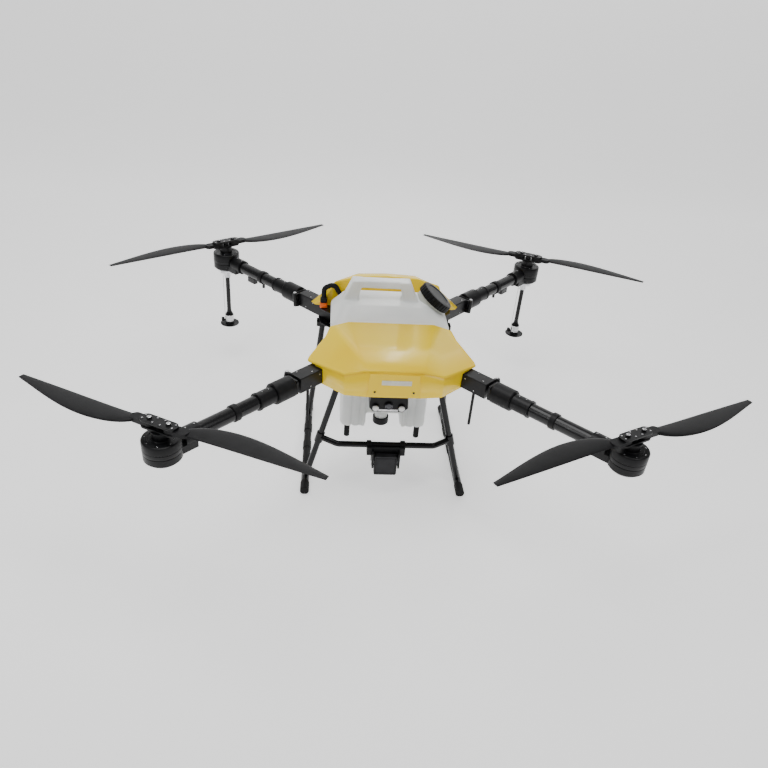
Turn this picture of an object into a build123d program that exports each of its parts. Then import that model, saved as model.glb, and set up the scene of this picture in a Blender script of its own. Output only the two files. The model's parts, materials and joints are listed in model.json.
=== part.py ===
from build123d import *
from math import cos, radians, sin, sqrt
import os

# Four-arm agricultural spray drone, in millimetres. +Z is up, the nose faces -Y and the origin is on the
# ground, midway between the skids. Every separate piece of the real machine is its own solid.

os.makedirs("parts", exist_ok=True)

# Overall layout
BLADE_Z = 491  # propeller plane above the ground
MOTOR_XY = 576  # motor axes at +-MOTOR_XY in X and in Y
MOTOR_R = MOTOR_XY * sqrt(2)
AXIS_Z = BLADE_Z - 65  # arm axis
PLATE_T = 3
BLOCK_H = 48
BLOCK_W = 46
BOTTOM_Z = AXIS_Z - BLOCK_H / 2  # top face of the bottom plate
TOP_Z = AXIS_Z + BLOCK_H / 2  # bottom face of the top plate
DECK_Z = TOP_Z + PLATE_T  # upper face of the top plate

# Arms: distances along the arm are measured from the middle of the drone
BLOCK_START = 225
BLOCK_END = 389
HINGE_R = 394
HINGE_SIDE = 33
KNUCKLE_R = 8
KNUCKLE_HALF = 8.3
PIN_R = 3
FLANGE_START = 398
FLANGE_T = 6
SLEEVE_R = 24
SLEEVE_END = 528
NUT_START = 406
NUT_LENGTH = 66
NUT_R = 31
NUT_BORE_R = 24.4
TUBE_START = 410
TUBE_END = 757
TUBE_R = 20
TUBE_WALL = 2
BAND_AT = 601
BAND_W = 12
BAND_R = 23.5
MOUNT_START = 714
MOUNT_END = 762
MOUNT_R = 25.5
FRONT_TILT = 10  # hinge pins of the front arms lean inwards, so the folded arms lie low
REAR_TILT = -7  # hinge pins of the rear arms lean outwards, so the folded arms lie high

# Motor and propeller
BELL_R = 47.5
BELL_TOP = BLADE_Z - 33
BELL_H = 36
PAN_TOP = BELL_TOP - BELL_H - 2
PAN_BOTTOM = BLADE_Z - 97
PAN_R = 47
PAN_BEVEL = 8
STATOR_R = 40
RISER_R = 22
BLADE_T = 12
HUB_GAP = 0.3
HUB_PLATE_T = 5.5
HUB_LENGTH = 104
HUB_WIDTH = 32
PIVOT_R = 27.5  # blade pivot bolts from the motor axis
BOLT_R = 4
BOLT_RUN = 0.05
PROP_R = 432

# Tank
TANK_FRONT = -72
TANK_BACK = 140
TANK_LOW_X = 141
TANK_TOP_X = 182
TANK_BOTTOM = BLADE_Z - 356
TANK_WALL = 3.5
SHOULDER_Z = BLADE_Z + 8
HOLE_CLEAR = 5
NECK_X = 116
NECK_Y = 56
NECK_Z = BLADE_Z + 22
NECK_TILT = 38
NECK_R = 50
NECK_LENGTH = 56
CAP_R = 57
CAP_T = 27
OUTLET_X = -5
OUTLET_Y = -30
OUTLET_LOW = BLADE_Z - 358
RECESS_H = 40
RECESS_DEPTH = 78
FOOT_Z = BLADE_Z - 407

# Landing gear
SKID_X = 247
SKID_Z = 13
SKID_R = 10
SKID_FRONT = -250
SKID_BACK = 228
JOINT_R = 13
LEG_R = 9.5
BAR_R = 9.5
BAR_Z = BLADE_Z - 320

# Propeller plates and blades
LOW_PLATE = BLADE_Z - BLADE_T / 2 - HUB_GAP - HUB_PLATE_T
HIGH_PLATE = BLADE_Z + BLADE_T / 2 + HUB_GAP
STATIONS = (60, 92, 130, 180, 240, 300, 360, 405, PROP_R)

# Covers
PLATE_HALF = [(146, -256), (222, -190), (208, -150), (181, -104),
              (181, 108), (214, 140), (222, 190), (146, 256)]
CORNER = (142, -287)
OUTER = (250, -194)
REAR_EDGE = TANK_FRONT - 5
CREST = (128, REAR_EDGE)
CREASE = (90, -294)
COVER_T = 3
COVER_BASE = DECK_Z + 0.3
SKIRT_Z = BLADE_Z - 92
REAR_WALL_Y = 168
REAR_ARCH = (178, 52)
SKIRT_HALF = [(90, -296), (140, -288), (222, -217.5), (100, -100)]
SKIRT_INSIDE = [(90, -290), (138, -282), (219, -212), (100, -90)]

# Fittings
CAMERA_Y = -150
CAMERA_LOW = BLADE_Z - 212
LEAD_Y = 154
LEAD_R = 8
SOCKET_X = -205
PLUG_LOW = BLADE_Z - 20

# Legs, crossbar and radar
FRONT_TOP = Vector(143, -167, BOTTOM_Z - PLATE_T)
FRONT_FOOT = Vector(SKID_X, -185, SKID_Z)
REAR_TOP = Vector(205, 165, BOTTOM_Z - PLATE_T)
REAR_FOOT = Vector(SKID_X, 165, SKID_Z)
LEG_JOINT_HALF = 26
BAR_BEND = (149, -213)
RADAR_W = 70
RADAR_T = 18
RADAR_Z = BAR_Z - 50
RADAR_FACE_Y = BAR_BEND[1] - 42

# Nozzles
POLE_TOP = PAN_BOTTOM - 20
POLE_R = 8
CAN_TOP = BLADE_Z - 296
CAN_LOW = BLADE_Z - 324
DISC_LOW = BLADE_Z - 338
DISC_R = 36

ARMS = {
    # name: (direction in degrees, side of the hinge pin, pin tilt, is it a rear arm)
    "front_left": (225, -1, FRONT_TILT, False),
    "front_right": (315, 1, FRONT_TILT, False),
    "rear_left": (135, 1, REAR_TILT, True),
    "rear_right": (45, -1, REAR_TILT, True),
}
PROPS = {
    # name: (angle of blade a's line, angle of blade b's line, which side is the wide one)
    "front_left": (-27.4, -24.0, 1),
    "front_right": (25.9, 24.4, -1),
    "rear_left": (35.4, 34.7, -1),
    "rear_right": (-26.0, -26.3, 1),
}


def save(piece, node):
    piece.part.label = node
    export_step(piece.part, f"parts/{node}.step")


def across(angle, r, z=AXIS_Z):
    """The plane square to an arm, r along it: local x to its left, local y up."""
    a = radians(angle)
    return Plane(origin=(r * cos(a), r * sin(a), z), x_dir=(-sin(a), cos(a), 0), z_dir=(cos(a), sin(a), 0))


def level(angle, z):
    """The level plane at height z with local x along an arm."""
    a = radians(angle)
    return Plane(origin=(0, 0, z), x_dir=(cos(a), sin(a), 0), z_dir=(0, 0, 1))


def hinge_plane(angle, side, tilt):
    """Centre of a hinge pin: local z along the pin, local x away from the arm, local y*side inwards."""
    a = radians(angle)
    t = radians(tilt)
    out = Vector(cos(a), sin(a), 0)
    left = Vector(-sin(a), cos(a), 0)
    centre = out * HINGE_R + left * (side * HINGE_SIDE) + Vector(0, 0, AXIS_Z)
    return Plane(origin=centre, x_dir=left * side, z_dir=out * -sin(t) + Vector(0, 0, cos(t)))


def mirrored(points):
    """A closed outline from its right-hand half, listed from front to back."""
    return points + [(-x, y) for x, y in reversed(points)]


# ---------------------------------------------------------------- frame plates and arm roots
hole_w = 2 * (TANK_LOW_X + HOLE_CLEAR)
hole_y = TANK_BACK - TANK_FRONT + 2 * HOLE_CLEAR
hole_mid = (TANK_BACK + TANK_FRONT) / 2

with BuildPart() as bottom_plate:
    with BuildSketch(Plane.XY.offset(BOTTOM_Z - PLATE_T)):
        Polygon(*mirrored(PLATE_HALF), align=None)
        with Locations((0, hole_mid)):
            Rectangle(hole_w, hole_y, mode=Mode.SUBTRACT)
    extrude(amount=PLATE_T)
save(bottom_plate, "bottom_plate")

with BuildPart() as top_plate:
    with BuildSketch(Plane.XY.offset(TOP_Z)):
        Polygon(*mirrored(PLATE_HALF), align=None)
        with Locations((0, hole_mid)):
            Rectangle(hole_w, hole_y, mode=Mode.SUBTRACT)
    extrude(amount=PLATE_T)
save(top_plate, "top_plate")

with BuildPart() as arm_roots:
    for angle, side, tilt, rear in ARMS.values():
        with BuildSketch(across(angle, BLOCK_START)):
            RectangleRounded(BLOCK_W, BLOCK_H - 0.02, 3)
        extrude(amount=BLOCK_END - BLOCK_START)
        pin = hinge_plane(angle, side, tilt)
        for low in (-BLOCK_H / 2 + 2, KNUCKLE_HALF + 0.4):
            with BuildSketch(pin.offset(low)):
                Circle(KNUCKLE_R)
                with Locations((-8, side * 6.5)):
                    Rectangle(16, 8)
            extrude(amount=BLOCK_H / 2 - 2 - KNUCKLE_HALF - 0.4)
        with BuildSketch(pin.offset(-BLOCK_H)):
            Circle(PIN_R)
        extrude(amount=2 * BLOCK_H, mode=Mode.SUBTRACT)
save(arm_roots, "arm_roots")

with BuildPart() as hinge_pins:
    for angle, side, tilt, rear in ARMS.values():
        pin = hinge_plane(angle, side, tilt)
        with BuildSketch(pin.offset(-BLOCK_H / 2 - 0.5)):
            Circle(PIN_R)
        extrude(amount=BLOCK_H + 1)
        with BuildSketch(pin.offset(BLOCK_H / 2 + 0.5)):
            Circle(5.5)
        extrude(amount=2.5)
save(hinge_pins, "hinge_pins")

# ---------------------------------------------------------------- arms
for name, (angle, side, tilt, rear) in ARMS.items():
    with BuildPart() as arm_socket:
        with BuildSketch(across(angle, FLANGE_START)):
            RectangleRounded(BLOCK_W, BLOCK_W, 6)
        extrude(amount=FLANGE_T)
        with BuildSketch(across(angle, FLANGE_START + FLANGE_T)):
            Circle(SLEEVE_R)
        extrude(amount=SLEEVE_END - FLANGE_START - FLANGE_T)
        with BuildSketch(across(angle, SLEEVE_END - 6)):
            Circle(SLEEVE_R + 1.6)
        extrude(amount=6)
        pin = hinge_plane(angle, side, tilt)
        with BuildSketch(pin.offset(-KNUCKLE_HALF)):
            Circle(KNUCKLE_R)
            with Locations((-8, -side * 6)):
                Rectangle(16, 4)
        extrude(amount=2 * KNUCKLE_HALF)
        with BuildSketch(pin.offset(-BLOCK_H)):
            Circle(PIN_R + BOLT_RUN)
        extrude(amount=2 * BLOCK_H, mode=Mode.SUBTRACT)
        with BuildSketch(across(angle, TUBE_START)):
            Circle(TUBE_R)
        extrude(amount=SLEEVE_END - TUBE_START + 10, mode=Mode.SUBTRACT)
    save(arm_socket, f"{name}_arm_socket")

    with BuildPart() as arm_tube:
        with BuildSketch(across(angle, TUBE_START)):
            Circle(TUBE_R)
            Circle(TUBE_R - TUBE_WALL, mode=Mode.SUBTRACT)
        extrude(amount=TUBE_END - TUBE_START)
        with BuildSketch(across(angle, BAND_AT - BAND_W / 2)):
            Circle(BAND_R)
            Circle(TUBE_R - 0.5, mode=Mode.SUBTRACT)
        extrude(amount=BAND_W)
        if rear:
            with BuildSketch(level(angle, AXIS_Z - BAND_R - 16)):
                with Locations((BAND_AT, 0)):
                    Circle(5)
                with Locations((BAND_AT + 62, 0)):
                    RectangleRounded(40, 16, 3)
            extrude(amount=18)
    save(arm_tube, f"{name}_arm_tube")

    with BuildPart() as lock_nut:
        with BuildSketch(across(angle, NUT_START)):
            Circle(NUT_R)
            Circle(NUT_BORE_R, mode=Mode.SUBTRACT)
        extrude(amount=NUT_LENGTH)
        chamfer(lock_nut.edges().filter_by(GeomType.CIRCLE).sort_by(SortBy.RADIUS)[-2:], 4)
    save(lock_nut, f"{name}_lock_nut")

    with BuildPart() as motor_mount:
        with BuildSketch(across(angle, MOUNT_START)):
            Circle(MOUNT_R)
        extrude(amount=MOUNT_END - MOUNT_START)
        with BuildSketch(level(angle, PAN_BOTTOM + 5)):
            with Locations((758, 0)):
                Rectangle(56, 50)
        extrude(amount=PAN_TOP - PAN_BOTTOM - 5)
        with BuildSketch(level(angle, PAN_BOTTOM)):
            with Locations((MOTOR_R, 0)):
                Circle(PAN_R - PAN_BEVEL)
        extrude(amount=PAN_BEVEL, taper=-45)
        with BuildSketch(level(angle, PAN_BOTTOM + PAN_BEVEL)):
            with Locations((MOTOR_R, 0)):
                Circle(PAN_R)
        extrude(amount=PAN_TOP - PAN_BOTTOM - PAN_BEVEL)
        with BuildSketch(across(angle, MOUNT_START)):
            Circle(TUBE_R)
        extrude(amount=TUBE_END - MOUNT_START, mode=Mode.SUBTRACT)
        with BuildSketch(level(angle, PAN_TOP)):
            with Locations((MOTOR_R, 0)):
                Circle(STATOR_R)
        extrude(amount=BELL_H - 10)
    save(motor_mount, f"{name}_motor_mount")

    with BuildPart() as motor_bell:
        with BuildSketch(level(angle, BELL_TOP - BELL_H)):
            with Locations((MOTOR_R, 0)):
                Circle(BELL_R)
        extrude(amount=BELL_H)
        chamfer(motor_bell.edges().group_by(Axis.Z)[-1], 4)
        with BuildSketch(level(angle, BELL_TOP - BELL_H)):
            with Locations((MOTOR_R, 0)):
                Circle(BELL_R - 4)
        extrude(amount=BELL_H - 6, mode=Mode.SUBTRACT)
        with BuildSketch(level(angle, BELL_TOP)):
            with Locations((MOTOR_R, 0)):
                Circle(RISER_R)
        extrude(amount=BLADE_Z - BLADE_T / 2 - HUB_GAP - HUB_PLATE_T - BELL_TOP)
    save(motor_bell, f"{name}_motor_bell")

# ---------------------------------------------------------------- propellers


def motor_centre(name):
    a = radians(ARMS[name][0])
    return Vector(MOTOR_R * cos(a), MOTOR_R * sin(a), 0)


def prop_plane(name, line, z):
    """The level plane on a motor axis with local x along a propeller's line."""
    a = radians(line)
    return Plane(origin=motor_centre(name) + Vector(0, 0, z), x_dir=(cos(a), sin(a), 0), z_dir=(0, 0, 1))


def make_blade(name, line, end, wide, node):
    """One blade: end is +1 or -1 along its propeller's line, wide is the side its broad edge is on."""
    flat = prop_plane(name, line, BLADE_Z)
    span = flat.x_dir * end
    edge = Vector(0, 0, 1).cross(span)
    pivot = flat.origin + prop_plane(name, PROPS[name][0], BLADE_Z).x_dir * end * PIVOT_R
    with BuildPart() as blade:
        with BuildSketch(Plane(origin=pivot - Vector(0, 0, BLADE_T / 2), x_dir=span, z_dir=(0, 0, 1))):
            with Locations((20, 0)):
                SlotOverall(67, 27)
        extrude(amount=BLADE_T)
        for number, r in enumerate(STATIONS):
            s = (r - STATIONS[0]) / (PROP_R - STATIONS[0])
            chord = max(16, 22 + 46 * sin(radians(180 * s**0.62)) - 6 * s)
            thick = 10 - 7.5 * s
            shift = wide * (chord / 2 - 11 + 3 * s)
            pitch = -wide * (6 + 14 * sin(radians(180 * min(1, 0.12 + s) ** 0.7))) * (1 - 0.35 * s)
            mid = pivot + span * (r - PIVOT_R) + edge * shift
            with BuildSketch(Plane(origin=mid, x_dir=edge, z_dir=span).rotated((0, 0, pitch))):
                Ellipse(chord / 2, thick / 2)
        loft()
        with BuildSketch(Plane(origin=pivot - Vector(0, 0, BLADE_T), z_dir=(0, 0, 1))):
            Circle(BOLT_R + BOLT_RUN)
        extrude(amount=2 * BLADE_T, mode=Mode.SUBTRACT)
    save(blade, node)


for name, (line_a, line_b, wide) in PROPS.items():
    with BuildPart() as prop_hub:
        for low in (LOW_PLATE, HIGH_PLATE):
            with BuildSketch(prop_plane(name, line_a, low)):
                SlotOverall(HUB_LENGTH, HUB_WIDTH)
            extrude(amount=HUB_PLATE_T)
        with BuildSketch(prop_plane(name, line_a, LOW_PLATE)):
            Circle(9)
            with Locations((PIVOT_R, 0), (-PIVOT_R, 0)):
                Circle(BOLT_R)
        extrude(amount=HIGH_PLATE + HUB_PLATE_T - LOW_PLATE)
        with BuildSketch(prop_plane(name, line_a, HIGH_PLATE + HUB_PLATE_T)):
            with Locations((PIVOT_R, 0), (-PIVOT_R, 0)):
                Circle(6.5)
        extrude(amount=4)
    save(prop_hub, f"{name}_prop_hub")
    make_blade(name, line_a, -1, wide, f"{name}_blade_a")
    make_blade(name, line_b, 1, wide, f"{name}_blade_b")

# ---------------------------------------------------------------- covers


def cover_solid(base, drop, inset):
    """The faceted front cover's body from base up, with its upper faces lowered by drop and its sides by inset."""
    with BuildPart(mode=Mode.PRIVATE) as body:
        with BuildSketch(Plane.XY.offset(base)):
            outline = [CREASE, CORNER, OUTER, (196, -112), (184, REAR_EDGE)]
            Polygon(*mirrored(outline), align=None)
            if inset:
                offset(amount=-inset, kind=Kind.INTERSECTION)
        extrude(amount=100)
        centre = Vector(0, REAR_EDGE, BLADE_Z + 31 - drop)
        rise = Vector(0, REAR_EDGE - CREASE[1], 35)
        split(bisect_by=Plane(origin=centre, x_dir=(1, 0, 0), z_dir=Vector(1, 0, 0).cross(rise)), keep=Keep.BOTTOM)
        for s in (-1, 1):
            a = Vector(s * CORNER[0], CORNER[1], BLADE_Z - 22 - drop)
            b = Vector(s * OUTER[0], OUTER[1], BLADE_Z - 35 - drop)
            c = Vector(s * CREST[0], CREST[1], BLADE_Z + 31 - drop)
            split(bisect_by=Plane(origin=a, x_dir=b - a, z_dir=(b - a).cross(c - a) * s), keep=Keep.BOTTOM)
    return body.part


cover_outer = cover_solid(COVER_BASE, 0, 0)
cover_inner = cover_solid(COVER_BASE - 1, COVER_T, COVER_T)

with BuildPart() as front_cover:
    add(cover_outer)
    add(cover_inner, mode=Mode.SUBTRACT)
save(front_cover, "front_cover")

with BuildPart() as front_skirt:
    with BuildSketch(Plane.XY.offset(SKIRT_Z)):
        Polygon(*mirrored(SKIRT_HALF), align=None)
        Polygon(*mirrored(SKIRT_INSIDE), align=None, mode=Mode.SUBTRACT)
    extrude(amount=COVER_BASE - 0.3 - SKIRT_Z)
    with BuildSketch(Plane.XZ.offset(296)):
        with Locations((0, (SKIRT_Z + COVER_BASE) / 2)):
            Trapezoid(150, COVER_BASE - SKIRT_Z - 8, 84)
    extrude(amount=2.5)
    for angle in (225, 315):
        with BuildSketch(across(angle, BLOCK_START)):
            Rectangle(BLOCK_W + 1.4, BLOCK_H + 30)
        extrude(amount=140, mode=Mode.SUBTRACT)
save(front_skirt, "front_skirt")


def rear_solid(front, thin):
    """The rear cover's arched dome from y = front to the tail, made smaller by thin on every side."""
    with BuildPart(mode=Mode.PRIVATE) as body:
        with BuildSketch(Plane.XY.offset(COVER_BASE)):
            Polygon(*mirrored([(250 - thin, 100), (250 - thin, 194), (142, 287 - thin)]), align=None)
        extrude(amount=150, taper=30)
        with BuildSketch(Plane.XZ.offset(-front)) as arch:
            with BuildLine():
                low = COVER_BASE
                half = REAR_ARCH[0] - thin
                knee = BLADE_Z + REAR_ARCH[1] - thin
                Polyline((-half - 30, low - 1), (half + 30, low - 1), (half + 8, BLADE_Z + 8), (half, knee))
                ThreePointArc((half, knee), (0, BLADE_Z + 84 - thin), (-half, knee))
                Polyline((-half, knee), (-half - 8, BLADE_Z + 8), (-half - 30, low - 1))
            make_face()
        extrude(amount=-140, mode=Mode.INTERSECT)
    return body.part


rear_outer = rear_solid(REAR_WALL_Y, 0)
rear_inner = rear_solid(REAR_WALL_Y - 10, COVER_T)

with BuildPart() as rear_cover:
    add(rear_outer)
    with BuildSketch(Plane.XY.offset(COVER_BASE)):
        Polygon(*mirrored([(200, REAR_WALL_Y), (250, 194), (142, 287)]), align=None)
    extrude(amount=DECK_Z + 6 - COVER_BASE, taper=12)
    add(rear_inner, mode=Mode.SUBTRACT)
    with BuildSketch(Plane.XY.offset(COVER_BASE - 1)):
        Polygon(*mirrored([(196, REAR_WALL_Y - 3), (243, 196), (139, 283)]), align=None)
    extrude(amount=DECK_Z + 3 - COVER_BASE, taper=12, mode=Mode.SUBTRACT)
save(rear_cover, "rear_cover")

with BuildPart() as battery:
    with BuildSketch(Plane.XY.offset(DECK_Z + 0.2)):
        with Locations((0, 201)):
            RectangleRounded(200, 50, 6)
    extrude(amount=84)
    chamfer(battery.edges().group_by(Axis.Z)[-1], 3)
save(battery, "battery")

with BuildPart() as flight_controller:
    with BuildSketch(Plane.XY.offset(DECK_Z + 0.2)):
        with Locations((0, -170)):
            RectangleRounded(96, 70, 5)
    extrude(amount=26)
save(flight_controller, "flight_controller")

with BuildPart() as pump:
    with BuildSketch(Plane.XY.offset(BOTTOM_Z + 0.2)):
        with Locations((0, 205)):
            RectangleRounded(86, 60, 6)
    extrude(amount=42)
    with BuildSketch(Plane.YZ.offset(43)):
        with Locations((205, BOTTOM_Z + 22)):
            Circle(19)
    extrude(amount=48)
save(pump, "pump")

# ---------------------------------------------------------------- tank


def tank_solid(thin):
    """The tank's body without its handle and neck, made smaller by thin on every side."""
    with BuildPart(mode=Mode.PRIVATE) as body:
        with BuildSketch(Plane.XY.offset(TANK_BOTTOM + thin)):
            with Locations((0, hole_mid)):
                RectangleRounded(2 * (TANK_LOW_X - thin), TANK_BACK - TANK_FRONT - 2 * thin, 26)
        extrude(amount=DECK_Z - TANK_BOTTOM + 10)
        with BuildSketch(Plane.XY.offset(DECK_Z + 0.3 + thin)):
            with Locations((0, hole_mid)):
                RectangleRounded(2 * (TANK_TOP_X - thin), TANK_BACK - TANK_FRONT - 2 * thin, 34)
        extrude(amount=SHOULDER_Z - DECK_Z - 0.3 - thin)
        with BuildSketch(Plane.XY.offset(SHOULDER_Z)):
            with Locations((0, hole_mid)):
                RectangleRounded(2 * (TANK_TOP_X - thin), TANK_BACK - TANK_FRONT - 2 * thin, 34)
        with BuildSketch(Plane.XY.offset(SHOULDER_Z + 46 - thin)):
            with Locations((-16, 46)):
                RectangleRounded(262 - 2 * thin, 112 - 2 * thin, 28)
        loft()
    return body.part


neck_dir = Vector(sin(radians(NECK_TILT)), 0, cos(radians(NECK_TILT)))
neck_base = Plane(origin=(NECK_X, NECK_Y, NECK_Z), x_dir=(0, 1, 0), z_dir=neck_dir)

def recess_solid(grow):
    """The hollow under the tank's front that makes room for the outlet, larger by grow on every side."""
    with BuildPart(mode=Mode.PRIVATE) as body:
        with BuildSketch(Plane.XZ.offset(-TANK_FRONT + 4)):
            with Locations((OUTLET_X, TANK_BOTTOM + (RECESS_H + grow) / 2 - 10)):
                Trapezoid(110 + 2 * grow, RECESS_H + grow + 20, 72)
        extrude(amount=-RECESS_DEPTH - grow)
    return body.part


tank_outer = tank_solid(0)
tank_recess = recess_solid(0)
tank_cavity = tank_solid(TANK_WALL) - recess_solid(TANK_WALL)

with BuildPart() as tank:
    add(tank_outer)
    with BuildSketch(neck_base.offset(-45)):
        Circle(NECK_R)
    extrude(amount=45 + NECK_LENGTH)
    with BuildSketch(Plane.XZ.offset(-20)):
        with Locations((-30, SHOULDER_Z + 74)):
            Trapezoid(246, 90, 68)
    extrude(amount=-46)
    with BuildSketch(Plane.XZ.offset(-10)):
        with Locations((-26, BLADE_Z + 80)):
            RectangleRounded(152, 36, 12)
    extrude(amount=-66, mode=Mode.SUBTRACT)
    add(tank_cavity, mode=Mode.SUBTRACT)
    with BuildSketch(neck_base.offset(-45)):
        Circle(NECK_R - TANK_WALL)
    extrude(amount=46 + NECK_LENGTH, mode=Mode.SUBTRACT)
    add(tank_recess, mode=Mode.SUBTRACT)
    with BuildSketch(Plane.XY.offset(OUTLET_LOW)):
        with Locations((OUTLET_X, OUTLET_Y)):
            Circle(21)
    extrude(amount=TANK_BOTTOM + RECESS_H - OUTLET_LOW + 1)
    with BuildSketch(Plane.XY.offset(OUTLET_LOW)):
        with Locations((OUTLET_X, OUTLET_Y)):
            Circle(17)
    extrude(amount=TANK_BOTTOM + RECESS_H - OUTLET_LOW + TANK_WALL + 2, mode=Mode.SUBTRACT)
save(tank, "tank")

with BuildPart() as tank_cap:
    with BuildSketch(neck_base.offset(NECK_LENGTH - CAP_T + 4.5)):
        Circle(CAP_R)
    extrude(amount=CAP_T)
    chamfer(tank_cap.edges(), 2.5)
    with BuildSketch(neck_base.offset(NECK_LENGTH - CAP_T + 4.4)):
        Circle(NECK_R + 0.4)
    extrude(amount=CAP_T - 4, mode=Mode.SUBTRACT)
save(tank_cap, "tank_cap")

with BuildPart() as outlet_cap:
    with BuildSketch(Plane.XY.offset(OUTLET_LOW - 4.5)):
        with Locations((OUTLET_X, OUTLET_Y)):
            Circle(26)
    extrude(amount=26)
    chamfer(outlet_cap.edges().group_by(Axis.Z)[0], 3)
    with BuildSketch(Plane.XY.offset(OUTLET_LOW - 0.5)):
        with Locations((OUTLET_X, OUTLET_Y)):
            Circle(21.4)
    extrude(amount=30, mode=Mode.SUBTRACT)
save(outlet_cap, "outlet_cap")

with BuildPart() as tank_feet:
    for x in (-116, 116):
        for y in (-50, 112):
            with BuildSketch(Plane.XY.offset(FOOT_Z)):
                with Locations((x, y)):
                    Circle(9.5)
            extrude(amount=TANK_BOTTOM - FOOT_Z)
    chamfer(tank_feet.edges().group_by(Axis.Z)[0], 1.5)
save(tank_feet, "tank_feet")

# ---------------------------------------------------------------- fittings under and beside the frame

with BuildPart() as camera:
    with BuildSketch(Plane.XZ.offset(-CAMERA_Y + 40)):
        with BuildLine():
            Polyline((-52, BOTTOM_Z - PLATE_T), (-56, CAMERA_LOW + 40), (-58, CAMERA_LOW + 14), (-46, CAMERA_LOW),
                     (46, CAMERA_LOW), (60, CAMERA_LOW + 14), (58, CAMERA_LOW + 44), (52, BOTTOM_Z - PLATE_T),
                     close=True)
        make_face()
    extrude(amount=-62)
    for x in (-39, 40):
        with BuildSketch(Plane.XZ.offset(-CAMERA_Y + 40)):
            with Locations((x, CAMERA_LOW + 18)):
                Circle(11)
        extrude(amount=6)
    with BuildSketch(Plane.XZ.offset(-CAMERA_Y + 40)):
        with Locations((0, CAMERA_LOW + 24)):
            Circle(13)
    extrude(amount=5)
save(camera, "camera")

with BuildPart() as antennas:
    for x in (-242, 242):
        with BuildSketch(Plane.XY.offset(BLADE_Z - 218)):
            with Locations((x, -234)):
                Circle(4.3)
        extrude(amount=BOTTOM_Z - BLADE_Z + 218)
        with BuildSketch(Plane.XY.offset(BOTTOM_Z - 9)):
            with Locations((x, -234)):
                Circle(7.5)
        extrude(amount=9)
save(antennas, "antennas")

# The battery lead runs in the gap between the tank and the rear cover, over the left shoulder and down
# into its socket on the deck.
lead_points = [(-150, BLADE_Z - 28), (-150, BLADE_Z + 6), (-172, BLADE_Z + 46), (SOCKET_X, BLADE_Z + 30),
               (SOCKET_X, BLADE_Z - 2)]

with BuildPart() as battery_lead:
    with BuildLine() as lead_path:
        FilletPolyline(*[(x, LEAD_Y, z) for x, z in lead_points], radius=17)
    with BuildSketch(Plane(origin=lead_path.line @ 0, z_dir=lead_path.line % 0)):
        Circle(LEAD_R)
    sweep()
save(battery_lead, "battery_lead")

with BuildPart() as power_connector:
    with BuildSketch(Plane.XY.offset(DECK_Z)):
        with Locations((SOCKET_X, LEAD_Y)):
            RectangleRounded(25, 24, 4)
    extrude(amount=PLUG_LOW - 0.05 - DECK_Z)
    with BuildSketch(Plane.XY.offset(PLUG_LOW)):
        with Locations((SOCKET_X, LEAD_Y)):
            RectangleRounded(24, 22, 5)
    extrude(amount=lead_points[-1][1] - PLUG_LOW)
save(power_connector, "power_connector")

# ---------------------------------------------------------------- landing gear


def mirror_x(point, s):
    return Vector(point.X * s, point.Y, point.Z)


with BuildPart() as landing_legs:
    for s in (-1, 1):
        for top, foot in ((FRONT_TOP, FRONT_FOOT), (REAR_TOP, REAR_FOOT)):
            start = mirror_x(foot, s)
            end = mirror_x(top, s)
            with BuildSketch(Plane(origin=start, z_dir=end - start)):
                Circle(LEG_R)
            extrude(amount=(end - start).length + 12)
            with BuildSketch(Plane(origin=(start.X, start.Y - LEG_JOINT_HALF, SKID_Z), z_dir=(0, 1, 0))):
                Circle(JOINT_R)
            extrude(amount=2 * LEG_JOINT_HALF)
            with BuildSketch(Plane.XY.offset(BOTTOM_Z - PLATE_T - 16)):
                with Locations((end.X + (start.X - end.X) * 0.03, end.Y)):
                    RectangleRounded(40, 32, 5)
            extrude(amount=16)
        with BuildSketch(Plane(origin=(s * SKID_X, SKID_FRONT - 10, SKID_Z), z_dir=(0, 1, 0))):
            Circle(SKID_R)
        extrude(amount=SKID_BACK - SKID_FRONT + 20, mode=Mode.SUBTRACT)
    with BuildSketch(Plane.XY.offset(BOTTOM_Z - PLATE_T)):
        Rectangle(600, 600)
    extrude(amount=40, mode=Mode.SUBTRACT)
save(landing_legs, "landing_legs")

with BuildPart() as skids:
    for s in (-1, 1):
        with BuildSketch(Plane(origin=(s * SKID_X, SKID_FRONT, SKID_Z), z_dir=(0, 1, 0))):
            Circle(SKID_R)
            Circle(SKID_R - 1.5, mode=Mode.SUBTRACT)
        extrude(amount=SKID_BACK - SKID_FRONT)
save(skids, "skids")

with BuildPart() as skid_rubbers:
    for s in (-1, 1):
        for y in (SKID_FRONT - 3, -40, 60, SKID_BACK - 37):
            with BuildSketch(Plane(origin=(s * SKID_X, y, SKID_Z), z_dir=(0, 1, 0))):
                Circle(SKID_Z + 1.2)
            extrude(amount=40)
        with BuildSketch(Plane(origin=(s * SKID_X, SKID_FRONT, SKID_Z), z_dir=(0, 1, 0))):
            Circle(SKID_R)
        extrude(amount=SKID_BACK - SKID_FRONT, mode=Mode.SUBTRACT)
    with BuildSketch(Plane.XY.offset(-10)):
        Rectangle(600, 600)
    extrude(amount=10, mode=Mode.SUBTRACT)
save(skid_rubbers, "skid_rubbers")

# The crossbar is bowed forwards between the front legs and carries the radar.
leg_s = (BAR_Z - SKID_Z) / (FRONT_TOP.Z - SKID_Z)
leg_at_bar = FRONT_FOOT + (FRONT_TOP - FRONT_FOOT) * leg_s

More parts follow.
